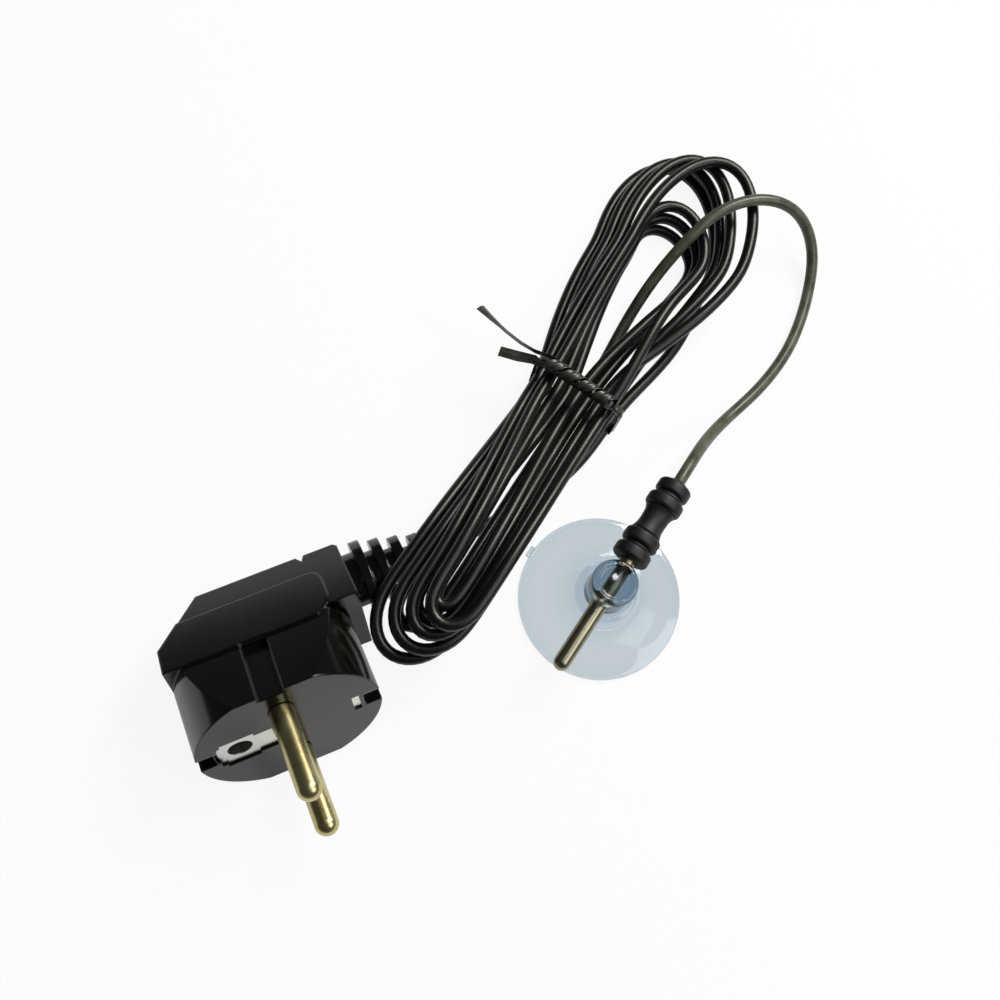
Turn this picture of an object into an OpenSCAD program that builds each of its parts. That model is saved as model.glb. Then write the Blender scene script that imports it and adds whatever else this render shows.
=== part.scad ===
// Aquarium probe on a thin lead: a metal rod in a rubber gland, held by a suction cup that
// slides along the rod, with the lead folded in a tied hank and ending in an angled plug.
// Millimetres. Origin: centre of the cup's rim face. +Y: along the rod, from its tip to the
// gland. +Z: away from the surface that the cup, the hank and the plug lie on.

/* [Probe rod] */
// Diameter of the rod
rod_d = 3.5; // [3:0.1:5]
// Length of rod that stands out of the gland
rod_out = 27; // [22:0.5:40]
// Length of rod held inside the gland
rod_in = 7; // [5:0.5:8]
// Diameter of the spigot on the rod's inner end
spigot_d = 1.8; // [1.4:0.1:2.2]
// Length of the spigot
spigot_l = 4; // [3:0.5:5]

/* [Gland] */
// Length of the rubber gland
gland_l = 20; // [19:0.5:26]
// Diameter over its rings
gland_ring_d = 8; // [7:0.1:10]
// Diameter of its waist
gland_waist_d = 5.6; // [5.2:0.1:6.4]
// Depth of the groove between two rings
gland_groove = 0.8; // [0.3:0.1:1.2]
// Gap between the gland and the knob of the cup
gland_gap = 2; // [1:0.1:4]

/* [Suction cup] */
// Diameter of the rim
cup_d = 35; // [30:1:40]
// Height from the rim face to the top of the knob
cup_h = 20; // [18:0.5:24]
// Height of the skirt, where the knob's foot begins
skirt_h = 7.6; // [7:0.1:9]
// Depth of the hollow under the skirt
hollow_h = 5.4; // [4.8:0.1:6]
// Thickness of the rim
rim_t = 0.9; // [0.6:0.1:1.4]
// Width of the flat rim face
rim_w = 0.9; // [0.6:0.1:1.4]
// Diameter of the knob
knob_d = 9.6; // [8:0.1:11]
// Height of the cross bore's axis above the rim face
bore_h = 14; // [12:0.5:16]
// Radial clearance between the rod and the cross bore
bore_clear = 0.05; // [0.02:0.01:0.09]
// Width of the pull tab on the rim
tab_w = 2.6; // [2:0.1:5]
// Distance that the pull tab stands out past the rim
tab_out = 0.8; // [0.5:0.1:2]

/* [Cord] */
// Outer diameter of the cord
cord_d = 2.6; // [2.2:0.1:2.6]
// Diameter of its copper core
core_d = 1.2; // [0.8:0.1:1.4]
// Clearance between a fixed piece and the seat it lies in
seat_clear = 0.05; // [0.02:0.01:0.1]

/* [Hank] */
// Distance between the centre lines of loops that lie on each other
hank_step = 3.05; // [3.05:0.05:3.3]
// Half width of the inner loops at the waist
waist_inner = 2.1; // [1.9:0.1:2.6]
// Half width of the outer loops at the waist
waist_outer = 7.0; // [6.8:0.1:7.8]
// Sideways stagger of alternate loops at the waist
waist_stagger = 1.1; // [0.8:0.1:1.2]
// Height that the lower end of the hank is raised where it lies on the strain relief
hank_lift = 12.8; // [12.8:0.1:14]

/* [Twist tie] */
// Width of the tie's strip
tie_w = 2.2; // [1.6:0.1:3]
// Thickness of the strip
tie_t = 0.5; // [0.4:0.1:0.6]

/* [Plug] */
// Diameter of the plug's face
face_d = 37.2; // [36:0.2:39]
// Distance from the plug's centre plane to each flat side, at the face
flat_half = 17; // [16:0.1:17.4]
// Taper of the flat sides, which is also the angle the plug lies at
side_taper = 21; // [18:0.5:23]
// Depth of the round part behind the face
drum_h = 15; // [13:0.5:17]
// Depth of the plug from its face to its back
plug_h = 33.5; // [32:0.5:36]
// Distance that the grip stands proud of the flat sides
grip_proud = 0.5; // [0.2:0.1:0.8]
// Diameter of a pin
pin_d = 4.8; // [4:0.1:4.8]
// Length of a pin from the face to its tip
pin_l = 19; // [18:0.5:20]
// Distance between the pins' axes
pin_gap = 19; // [18:0.1:19.2]
// Diameter of the earth socket's bore
socket_d = 4.9; // [4.8:0.05:5.2]
// Distance from the plug's axis to the earth socket's axis
socket_off = 10; // [9:0.5:11]
// Depth of the earth socket's tube
socket_l = 12; // [10:0.5:13]
// Width of the earth strip's two clips
strip_w = 4; // [3:0.1:4.4]
// Width of the strip between its clips
bar_w = 7.4; // [6:0.1:8]
// Width of the strip's plate round the earth socket
plate_w = 9.2; // [8:0.1:9.6]
// Thickness of the earth strip
strip_t = 0.8; // [0.5:0.1:1]
// Depth of the earth strip under the face
strip_down = 0.5; // [0.3:0.1:1.2]
// Number of ribs on the strain relief
rib_count = 4; // [3:1:5]
// Distance between two ribs
rib_pitch = 3.9; // [3.4:0.1:4]
// Thickness of a rib
rib_t = 2.1; // [1.6:0.1:2.4]

/* [Hidden] */
$fn = 48;

// Small helpers: an S curve from 0 to 1, and a vector at unit length.
function ease(f) = let (g = min(1, max(0, f))) g * g * (3 - 2 * g);
function unit(v) = v / norm(v);

// ---------------------------------------------------------------- rod, gland and cup

rod_r = rod_d / 2;
knob_r = knob_d / 2;
gland_y = knob_r + gland_gap;
tip_y = gland_y - rod_out;
spigot_y = gland_y + rod_in;
crimp_wall = 0.6;
crimp_grip = 4;
crimp_l = spigot_l + crimp_grip;
crimp_r = spigot_d / 2 + seat_clear + crimp_wall;
core_y = spigot_y + spigot_l + 0.3;
stub_y = spigot_y + crimp_l + 0.5;
gland_end_y = gland_y + gland_l;
seal_wall = 0.35;
seal_r = crimp_r + seat_clear + seal_wall;
rod_color = [0.45, 0.42, 0.36];
rubber_color = [0.08, 0.08, 0.08];
copper_color = [0.72, 0.45, 0.3];

// Turns a profile drawn as [radius, distance along] into a solid along +Y at bore height.
module along_rod() {
    translate([0, 0, bore_h]) rotate([-90, 0, 0]) rotate_extrude() children();
}

// A plain round bar or tube along the rod's axis.
module rod_bar(from_y, to_y, r, bore_r = 0) {
    along_rod() translate([bore_r, from_y]) square([r - bore_r, to_y - from_y]);
}

// The rod: a domed tip outside, and a turned-down spigot inside the gland.
module probe_rod() {
    dome = [for (a = [0 : 10 : 90]) [rod_r * sin(a), tip_y + rod_r * (1 - cos(a))]];
    color(rod_color) along_rod() polygon(concat(dome, [[rod_r, spigot_y],
        [spigot_d / 2, spigot_y], [spigot_d / 2, spigot_y + spigot_l], [0, spigot_y + spigot_l]]));
}

// The crimp joins the spigot to the bare core, with three pinched rings.
module crimp_sleeve() {
    color("gold") difference() {
        rod_bar(spigot_y + seat_clear, spigot_y + crimp_l, crimp_r, spigot_d / 2 + seat_clear);
        for (y = [1.2, 5.2, 6.8]) along_rod()
            translate([crimp_r - 0.15, spigot_y + y]) square([1, 0.6]);
    }
}

// The bare end of the core: its strands fill the crimp and run back into the cord's end.
module rod_conductor() {
    color(copper_color) {
        rod_bar(core_y, spigot_y + crimp_l - 0.2, spigot_d / 2);
        rod_bar(spigot_y + crimp_l - 0.2, stub_y, core_d / 2);
    }
}

// Shrunk tube that keeps water out of the crimp.
module seal_sleeve() {
    color("dimgray") rod_bar(spigot_y + seat_clear, spigot_y + crimp_l - 0.4, seal_r,
        crimp_r + seat_clear);
}

// The last stretch of cord, inside the gland.
module gland_cord_end() {
    color(rubber_color) rod_bar(stub_y, gland_end_y, cord_d / 2);
}

// One rounded ring of the gland, as points from y0 to y1.
function ring(y0, y1, r) = let (e = min(0.9, (y1 - y0) / 2)) concat(
    [for (a = [0 : 30 : 90]) [r - e + e * sin(a), y0 + e * (1 - cos(a))]],
    [for (a = [90 : -30 : 0]) [r - e + e * sin(a), y1 - e * (1 - cos(a))]]);

// The rubber gland: two rings at each end, a groove between them, and a drawn-in waist.
module cord_gland() {
    r = gland_ring_d / 2;
    low = r - gland_groove;
    w = gland_waist_d / 2;
    y = gland_y;
    e = gland_end_y;
    outline = concat([[0, y]], ring(y, y + 3, r), [[low, y + 3.1], [low, y + 3.5]],
        ring(y + 3.6, y + 6.6, r), [[w + 0.3, y + 7.6], [w, y + 9], [w + 0.2, e - 8.2]],
        ring(e - 7.2, e - 4.2, r), [[low, e - 4.1], [low, e - 3.7]],
        ring(e - 3.6, e - 0.6, r - 0.3), [[cord_d / 2 + 0.9, e], [0, e]]);
    color(rubber_color) difference() {
        along_rod() polygon(outline);
        rod_bar(y - 1, spigot_y, rod_r + seat_clear);
        rod_bar(spigot_y - 0.01, stub_y, seal_r + seat_clear);
        rod_bar(stub_y - 0.01, e + 1, cord_d / 2 + seat_clear);
    }
}

// The cup: a thin skirt with a hollow under it, and a knob with a cross bore for the rod.
module suction_cup() {
    r = cup_d / 2;
    foot_r = knob_r + 0.8;
    edge = 0.9;
    hollow_r = r - rim_w;
    skirt = [for (i = [0 : 12]) let (t = i / 12)
        [r - (r - foot_r) * t, rim_t + (skirt_h - rim_t) * pow(t, 1.35)]];
    knob = concat([[foot_r, skirt_h + 0.5], [knob_r, skirt_h + 1.3]],
        [for (a = [0 : 15 : 90]) [knob_r - edge * (1 - cos(a)), cup_h - edge * (1 - sin(a))]]);
    hollow = [for (i = [0 : 12]) let (q = hollow_r * i / 12)
        [q, hollow_h * (1 - pow(q / hollow_r, 2))]];
    color([0.75, 0.85, 0.9, 0.5]) difference() {
        union() {
            rotate_extrude($fn = 96) polygon(concat([[r, 0]], skirt, knob, [[0, cup_h]], hollow));
            translate([-r - tab_out, -tab_w / 2, 0]) cube([tab_out + rim_w / 2, tab_w, rim_t + 0.5]);
        }
        rod_bar(-knob_d, knob_d, rod_r + bore_clear);
    }
}

// ---------------------------------------------------------------- plug

// The plug lies on one flat side, with its cord running along the surface.
plug_turn = 56.4;
plug_at = [-36.5, -59.3, flat_half * cos(side_taper) + grip_proud];
plug_color = [0.1, 0.1, 0.1];
face_r = face_d / 2;
pin_r = pin_d / 2;

// Plug's own axes: x towards the cord, y up from the surface, z along the pins, face at z 0.
module plug_place() {
    translate(plug_at) rotate([90 - side_taper, 0, plug_turn]) children();
}
function plug_point(p) = let (c = cos(plug_turn), s = sin(plug_turn),
    b = cos(side_taper), t = sin(side_taper),
    h = p[1] * t - p[2] * b)
    plug_at + [p[0] * c - h * s, p[0] * s + h * c, p[1] * b + p[2] * t];

grip_x = 18.3;
grip_back = 8.7;
groove_w = 5;
groove_x = -0.6;
groove_top = 12.6;
groove_end = 15.2;
house_x = 21.4;
house_z = 17;
panel_end = 27.4;
panel_x = 15.9;
dip_x = 13.6;
dip = 1.6;
relief_z = -26;
relief_nose = 2;
relief_end = house_x + 0.9 + rib_count * rib_pitch + relief_nose;
rib_first = [6, 8.2];
rib_last = [4.2, 4.9];
rib_depth = 2;
strip_top = -strip_down;
strip_low = strip_top - strip_t;
notch_x = 15;
notch_w = strip_w + 0.4;
clip_x = 16.6;
clip_l = 12;
bridge_top = strip_low - 0.2;
bridge_h = 6.5;
bridge_x = 6;
bridge_y = pin_gap / 2 + 1.8;
shank_r = 1.4;
neck_r = pin_r - 0.4;
rivet_r = 1.7;
rivet_h = 1.2;
crimp_x = 9.5;
conductor_z = bridge_top - 2.2;
socket_r = socket_d / 2;
socket_wall = 0.6;
plate_x = socket_r + 0.9;
bar_x = 14.3;
strip_gap = 0.2;
turn_x = 14.6;
plug_stub_x = turn_x + 1;

// Space between the two flat sides, which draw in towards the back.
module side_wedge(proud, x0, x1) {
    d = plug_h * tan(side_taper);
    h = flat_half + proud;
    translate([x0, 0, 0]) rotate([90, 0, 90]) linear_extrude(x1 - x0)
        polygon([[-h, 0], [h, 0], [h - d, -plug_h], [-h + d, -plug_h]]);
}

// An outline drawn as [x, z] becomes a solid through the whole width of the plug.
module across() {
    rotate([90, 0, 0]) linear_extrude(2 * flat_half + 2, center = true) children();
}

// One rib or the neck under it: an oval disc across the strain relief.
module relief_disc(x, t, half_y, half_z) {
    translate([x, 0, relief_z]) rotate([0, 90, 0]) intersection() {
        linear_extrude(t) scale([half_z / half_y, 1]) circle(r = half_y, $fn = 32);
        translate([-half_z, -half_y, 0]) cube([2 * half_z, 2 * half_y, t]);
    }
}
function rib_size(i, cut) = let (f = i / (rib_count - 1))
    rib_first + (rib_last - rib_first) * f - [cut, cut];

// The moulded outside: round face part, grip with slanted end, cord housing, ribbed relief.
module plug_shape() {
    intersection() {
        translate([0, 0, -drum_h - 1]) cylinder(r = face_r, h = drum_h + 1, $fn = 96);
        side_wedge(0, -face_r, face_r);
    }
    intersection() {
        side_wedge(0, -grip_x, dip_x);
        across() polygon([[-grip_x, -drum_h], [-grip_x, -21.5], [-grip_back, -plug_h],
            [dip_x - 1, -plug_h], [dip_x, -plug_h + dip], [dip_x, -drum_h]]);
    }
    intersection() {
        side_wedge(grip_proud, -grip_x, panel_x);
        across() polygon([[-grip_x, -drum_h], [-grip_x, -21.5], [-13.6, -panel_end],
            [panel_x - 1.8, -panel_end], [panel_x - 0.4, -panel_end + 1], [panel_x, -panel_end + 2.8],
            [panel_x, -drum_h - 4.6], [panel_x - 1, -drum_h - 2], [panel_x - 3, -drum_h]]);
    }
    intersection() {
        side_wedge(0, 0, house_x);
        across() polygon([[dip_x - 1, -house_z], [dip_x - 1, -plug_h + dip], [dip_x, -plug_h + dip],
            [dip_x + 0.7, -plug_h], [house_x - 0.8, -plug_h], [house_x, -plug_h + 0.8],
            [house_x, -house_z]]);
    }
    for (i = [0 : rib_count - 1]) {
        x = house_x + 0.9 + i * rib_pitch;
        s = rib_size(i, 0);
        n = rib_size(i, rib_depth);
        relief_disc(x + rib_pitch - rib_t - 0.4, rib_t, s[0], s[1]);
        relief_disc(x - 0.95, rib_pitch + 0.05, n[0], n[1]);
    }
    translate([relief_end - relief_nose - 0.6, 0, relief_z]) rotate([0, 90, 0])
        cylinder(r1 = cord_r + 1.6, r2 = cord_r + 0.8, h = relief_nose + 0.6);
}

// The moulded body with the seats of all that it holds.
module plug_body() {
    color(plug_color) plug_place() difference() {
        plug_shape();
        // guide groove in each flat side, on the pins' line
        for (s = [0, 1]) mirror([0, s, 0]) guide_groove();
        // holes of the pins and the seat of the bridge that carries them
        for (s = [-1, 1]) translate([0, s * pin_gap / 2, 0]) {
            translate([0, 0, bridge_top]) cylinder(r = pin_r + seat_clear, h = 10);
            translate([0, 0, bridge_top - bridge_h - rivet_h - seat_clear])
                cylinder(r = rivet_r + seat_clear, h = rivet_h + 1);
        }
        translate([-bridge_x, -bridge_y, bridge_top - bridge_h] - seat_clear * [1, 1, 1])
            cube([2 * bridge_x, 2 * bridge_y, bridge_h] + 2 * seat_clear * [1, 1, 1]);
        // slot of the earth strip, its two windows in the face, and the notches of the clips
        translate([-notch_x - 1, -notch_w / 2, bridge_top])
            cube([2 * notch_x + 2, notch_w, strip_t + strip_gap + seat_clear]);
        strip_flat(strip_gap, bridge_top, strip_t + strip_gap + seat_clear);
        strip_windows();
        for (s = [-1, 1]) translate([s > 0 ? notch_x + 0.1 : -face_r - 1, -notch_w / 2, -clip_l - 3])
            cube([face_r + 0.9 - notch_x, notch_w, clip_l + 8]);
        // tube of the earth socket
        translate([-socket_off, 0, strip_low - socket_l - 0.3])
            cylinder(r = socket_r + socket_wall + seat_clear, h = socket_l + 0.4);
        // crimp, conductor and the cord's end
        translate([crimp_x - 2.2, -1.6, bridge_top - 3.6]) cube([6.6, 3.2, 4]);
        conductor_path(core_d / 2 + seat_clear);
        translate([plug_stub_x, 0, relief_z]) rotate([0, 90, 0])
            cylinder(r = cord_d / 2 + seat_clear, h = relief_end - plug_stub_x + 1);
    }
}

// The strip's flat part: its bar, and its plate round the earth socket.
module strip_flat(grow, z, h) {
    translate([-bar_x - grow, -bar_w / 2 - grow, z]) cube([2 * (bar_x + grow), bar_w + 2 * grow, h]);
    translate([-socket_off - plate_x - grow, -plate_w / 2 - grow, z])
        cube([2 * (plate_x + grow), plate_w + 2 * grow, h]);
}

// Windows in the face: over the plate and half of the bar, and a narrow one at the far end.
module strip_windows() {
    translate([-bar_x, -bar_w / 2, strip_top]) cube([bar_x - 3, bar_w, 5]);
    translate([-socket_off - plate_x, -plate_w / 2, strip_top]) cube([2 * plate_x, plate_w, 5]);
    translate([-notch_x, -strip_w / 2, strip_top]) cube([2, strip_w, 5]);
    translate([bar_x - 1.5, -2.6, strip_top]) cube([1.5, 5.2, 5]);
}

// A groove along one flat side: its floor runs out where the side has drawn in to meet it.
module guide_groove() {
    end_y = flat_half - groove_end * tan(side_taper);
    translate([groove_x - groove_w / 2, 0, 0]) rotate([90, 0, 90]) linear_extrude(groove_w)
        polygon([[groove_top, 1], [flat_half + 4, 1], [flat_half + 4, -groove_end],
            [end_y, -groove_end], [groove_top, 0]]);
}

// Nylon bridge that carries the pins and backs the earth strip.
module pin_bridge() {
    color("ivory") plug_place() difference() {
        translate([-bridge_x, -bridge_y, bridge_top - bridge_h])
            cube([2 * bridge_x, 2 * bridge_y, bridge_h]);
        for (s = [-1, 1]) translate([0, s * pin_gap / 2, bridge_top - bridge_h - 1])
            cylinder(r = shank_r + seat_clear, h = bridge_h + 2);
    }
}

// A plug pin: round shaft with a domed tip, and a shank riveted through the bridge.
module plug_pin(s) {
    dome = [for (a = [90 : -10 : 0]) [pin_r * sin(a), pin_l - pin_r + pin_r * cos(a)]];
    back = bridge_top - bridge_h - rivet_h;
    rivet = bridge_top - bridge_h - seat_clear;
    color([0.72, 0.6, 0.32]) plug_place() translate([0, s * pin_gap / 2, 0])
        rotate_extrude() polygon(concat([[0, back], [rivet_r, back], [rivet_r, rivet],
            [shank_r, rivet], [shank_r, bridge_top + seat_clear], [neck_r, bridge_top + seat_clear],
            [neck_r, 0], [pin_r, 0]], dome));
}
module line_pin() { plug_pin(1); }
module neutral_pin() { plug_pin(-1); }

// Earth strip: a flat bar across the face, a plate round the socket, a bowed clip at each end.
module earth_strip() {
    module clip() {
        bow = 0.8;
        rotate([90, 0, 0]) linear_extrude(strip_w, center = true) polygon(concat(
            [for (i = [0 : 8]) let (f = i / 8) [clip_x + bow * sin(180 * f), strip_low - clip_l * f]],
            [for (i = [8 : -1 : 0]) let (f = i / 8)
                [clip_x - strip_t + bow * sin(180 * f), strip_low - clip_l * f]]));
    }
    color("gainsboro") plug_place() difference() {
        union() {
            translate([-clip_x, -strip_w / 2, strip_low]) cube([2 * clip_x, strip_w, strip_t]);
            strip_flat(0, strip_low, strip_t);
            clip();
            mirror([1, 0, 0]) clip();
        }
        translate([-socket_off, 0, strip_low - 1]) cylinder(r = socket_r, h = strip_t + 2);
    }
}

// Earth contact: the tube behind the strip's plate that takes the socket's own earth pin.
module earth_contact() {
    color("gainsboro") plug_place() translate([-socket_off, 0, strip_low - socket_l]) difference() {
        cylinder(r = socket_r + socket_wall, h = socket_l);
        translate([0, 0, 1]) cylinder(r = socket_r, h = socket_l);
        for (a = [0, 90]) rotate([0, 0, a]) translate([-10, -0.3, 3]) cube([20, 0.6, socket_l - 5]);
    }
}

// Crimp barrel under the strip that grips the earth conductor.
module earth_crimp() {
    color("silver") plug_place() difference() {
        union() {
            translate([crimp_x - 1.8, -1.1, strip_low - 1.6]) cube([4.6, 2.2, 1.6]);
            translate([crimp_x - 1.8, 0, conductor_z]) rotate([0, 90, 0]) cylinder(r = 1.3, h = 3.4);
        }
        translate([crimp_x - 5, 0, conductor_z]) rotate([0, 90, 0])
            cylinder(r = core_d / 2 + seat_clear, h = 12);
    }
}

// The bare core's way through the plug: out of the crimp, down, and into the cord's end.
module conductor_path(r) {
    translate([crimp_x - 1.8, 0, conductor_z]) rotate([0, 90, 0])
        cylinder(r = r, h = turn_x - crimp_x + 1.8);
    translate([turn_x, 0, conductor_z]) sphere(r = r);
    translate([turn_x, 0, relief_z]) cylinder(r = r, h = conductor_z - relief_z);
    translate([turn_x, 0, relief_z]) sphere(r = r);
    translate([turn_x, 0, relief_z]) rotate([0, 90, 0]) cylinder(r = r, h = plug_stub_x - turn_x);
}

module plug_conductor() {
    color(copper_color) plug_place() conductor_path(core_d / 2);
}

// The last stretch of cord, inside the strain relief.
module plug_cord_end() {
    color(plug_color) plug_place() translate([plug_stub_x, 0, relief_z]) rotate([0, 90, 0])
        cylinder(r = cord_d / 2, h = relief_end - plug_stub_x);
}

// ---------------------------------------------------------------- cord

cord_r = cord_d / 2;
cord_color = [0.06, 0.06, 0.07];

// Smooth line through the route's points, and a tube with the given number of sides along a line.
function spline(p, n) = [for (i = [0 : len(p) - 2]) for (j = [0 : n - 1]) let (t = j / n,
    a = p[max(0, i - 1)], b = p[i], c = p[i + 1], d = p[min(len(p) - 1, i + 2)])
    0.5 * (2 * b + (c - a) * t + (2 * a - 5 * b + 4 * c - d) * t * t
        + (3 * b - a - 3 * c + d) * t * t * t), p[len(p) - 1]];
function heading(l, i) = unit(l[min(len(l) - 1, i + 1)] - l[max(0, i - 1)]);
function frames(l, i, up) = i == len(l) ? [] : let (t = heading(l, i), u = unit(up - (up * t) * t))
    concat([[u, cross(t, u)]], frames(l, i + 1, u));
module tube(l, r, sides) {
    f = frames(l, 0, [0.01, 0.02, 1]);
    n = len(l);
    pts = [for (i = [0 : n - 1]) for (k = [0 : sides - 1]) let (a = 360 * (k + 0.5) / sides)
        l[i] + r * (cos(a) * f[i][0] + sin(a) * f[i][1])];
    walls = [for (i = [0 : n - 2]) for (k = [0 : sides - 1])
        let (a = i * sides + k, b = i * sides + (k + 1) % sides)
        each [[a, b + sides, b], [a, a + sides, b + sides]]];
    last = (n - 1) * sides;
    ends = [for (k = [1 : sides - 2]) each [[0, k, k + 1], [last, last + k + 1, last + k]]];
    polyhedron(pts, concat(walls, ends));
}

// The hank. Seven loops: four wide ones that climb, then three narrow ones that come down
// inside them. A loop starts at its top bend on the right, and runs anticlockwise.
hank_x = -29.2;
waist_y = 33;
loop_count = 7;
wide_count = 4;
top_y = 74;
ring_per_loop = 24;
hank_end = 6 + 20.6 / ring_per_loop;

// Right sides of the three narrow loops at their lower bends, from the hank's own axis.
narrow_right = [5.2, 6.25, 2.9];

// Level, sides and bends of loop k; the waist's half width goes with its column. Top bends
// fan out to the left, and lower ones to the right.
function is_wide(k) = k < wide_count;
function level(k) = is_wide(k) ? k : loop_count - 1 - k;
function waist_half(k) = is_wide(k) ? waist_outer : waist_inner;
function top_left(k) = is_wide(k) ? -15.8 + 2.3 * k : -8.1;
function top_right(k) = is_wide(k) ? 10.5 + 0.19 * pow(k, 3) : 7.9 - 0.7 * (k - wide_count);
function top_half(k) = (top_right(k) - top_left(k)) / 2;
function top_x(k) = (top_right(k) + top_left(k)) / 2;
function top_long(k) = is_wide(k) ? 22 + k : 11 - 2 * (k - wide_count);
function top_lean(k) = is_wide(k) ? -8 + 0.12 * pow(k, 3) : -4.5;
function top_tilt(k) = is_wide(k) ? 4 : 2;
function low_left(k) = is_wide(k) ? -8.5 + 2.9 * k : 0.5 - 2.8 * (k - wide_count);
function low_right(k) = is_wide(k) ? 9 - 0.6 * cos(180 * k) : narrow_right[k - wide_count];
function low_half(k) = (low_right(k) - low_left(k)) / 2;
function low_x(k) = (low_right(k) + low_left(k)) / 2;
function low_long(k) = is_wide(k) ? 12 - 2 * k : 2.5 + 0.6 * (k - wide_count);
function low_y(k) = low_long(k) + (is_wide(k) ? -36.8 + 3 * k : -24.8 - 2.9 * (k - wide_count));

// The hank's underside: on the surface, a little up over the tie, and up on the relief.
function floor_z(y) = hank_lift * ease((36 - y) / 50) + (tie_t + 0.2) * (1 - ease(abs(y - waist_y) / 18));
function floor_tilt(y) = atan(floor_z(y + 0.5) - floor_z(y - 0.5));
function seat(x, y, lev, extra) = let (t = floor_tilt(y), h = hank_step * lev + extra)
    [hank_x + x, y - h * sin(t), cord_r + floor_z(y) + h * cos(t)];

// Place across a run, s = -1 left or 1 right, from the waist up (f > 0) or down (f < 0).
function up_x(k, f, s) = let (e = pow(ease(f), s < 0 ? 0.55 : 1.1))
    s * (waist_half(k) * (1 - e) + top_half(k) * e) + top_x(k) * e;
function down_x(k, f, s) = let (e = ease(-f))
    s * (waist_half(k) * (1 - e) + low_half(k) * e) + low_x(k) * e;
function run_x(k, f, s) = f > 0 ? up_x(k, f, s) : down_x(k, f, s);
function stagger(lev, f) = -waist_stagger * cos(180 * lev) * (1 - ease(abs(f)));

// The line's point at g loops from the start.
function hank_point(g) = let (k = floor(g + 0.00001), i = (g - k) * ring_per_loop, lev = level(k))
    i <= 8 ? let (a = 180 * i / 8) seat(top_x(k) + top_half(k) * cos(a) + top_lean(k) * sin(a),
        top_y + top_tilt(k) * cos(a) + top_long(k) * sin(a), lev, 0)
    : i <= 12 ? let (f = (10 - i) / 2,
        y = waist_y + (f > 0 ? (top_y - top_tilt(k) - waist_y) * f : (waist_y - low_y(k)) * f))
        seat(run_x(k, f, -1) + stagger(lev, f), y, lev, 0)
    : i <= 18 ? let (a = 180 + 180 * (i - 12) / 6)
        seat(low_x(k) + low_half(k) * cos(a), low_y(k) + low_long(k) * sin(a), lev, 0)
    : i <= 20 ? let (f = (i - 20) / 2, y = waist_y + (waist_y - low_y(k)) * f)
        seat(run_x(k, f, 1) + stagger(lev, f), y, lev, 0)
    : let (f = (i - 20) / 4, n = min(k + 1, loop_count - 1), m = ease(1.4 * f),
        y = waist_y + (top_y + top_tilt(n) - waist_y) * f,
        l = lev + (level(n) - lev) * (k < wide_count - 1 ? m : ease(2 * f - 1)),
        hop = k == wide_count - 1 ? 1.8 * sin(180 * f) : 0)
        seat(up_x(k, f, 1) * (1 - m) + up_x(n, f, 1) * m + stagger(l, f), y, l, hop);

hank_rings = [for (i = [0 : floor(hank_end * ring_per_loop)]) i / ring_per_loop];
hank_run = [for (g = hank_rings) hank_point(g)];
straight = [0, cord_d + 0.1, 0];
hank_line = concat([hank_run[0] - straight], hank_run, [hank_run[len(hank_run) - 1] + straight]);

// Least gap of the hank to itself, over points three times as close as its rings.
fine = 3;
gap_line = [for (i = [0 : (len(hank_line) - 1) * fine]) let (a = floor(i / fine), f = i / fine - a)
    f == 0 ? hank_line[a] : hank_line[a] * (1 - f) + hank_line[a + 1] * f];
near = 5 * fine;
hank_gap = min([for (i = [0 : len(gap_line) - 1 - near]) for (j = [i + near : len(gap_line) - 1])
    norm(gap_line[i] - gap_line[j])]) - cord_d;
echo(hank_gap_mm = hank_gap);  // cord_hank

module cord_hank() {
    color(cord_color) tube(hank_line, cord_r, 6);
}

// From the strain relief, under the raised end of the hank, through its waist, to its start.
relief_exit = plug_point([relief_end, 0, relief_z]);
relief_ahead = plug_point([relief_end + cord_d + 0.1, 0, relief_z]);
lead_waist_x = -19.5;
lead_route = [relief_ahead, [-30.7, -6, 6], [-27.8, 0, 4.2], [-25.2, 6, 2.6], [-22.6, 12.5, 1.6],
    [-20.6, 19, 1.35], [-19.6, 26, 1.6], [lead_waist_x, 33, 2], [-18.8, 41, 1.6], [-17.3, 50, 1.35],
    [-16.5, 58, 1.35], [-17.2, 66, 1.35], hank_line[0] - straight];
module cord_lead() {
    color(cord_color) tube(concat([relief_exit], spline(lead_route, 2), [hank_line[0]]), cord_r, 8);
}

// From the hank's end, up over its top bends, down to the surface and up to the gland.
hank_last = hank_line[len(hank_line) - 1];
gland_exit = [0, gland_end_y, bore_h];
tail_route = [hank_last + straight, [-27.6, 43, 1.6], [-28.4, 51, 2], [-29, 59, 4],
    [-28.9, 67, 7.4], [-27.8, 75, 11.2], [-26, 83, 13.8], [-22.6, 90, 14.1], [-17.6, 95, 13.6],
    [-12, 97.8, 11.5], [-6.6, 98, 7.6], [-2, 95, 4], [1.2, 89.4, 1.8], [3.6, 82, 1.35], [5, 74, 1.35],
    [5, 66, 1.35], [3.9, 58.5, 1.35], [2.2, 51.5, 2.4], [0.9, 45, 5.2], [0.2, 39, 9],
    [0, 33.5, 12.6], gland_exit + straight];
module cord_tail() {
    color(cord_color) tube(concat([hank_last], spline(tail_route, 2), [gland_exit]), cord_r, 8);
}

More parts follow.
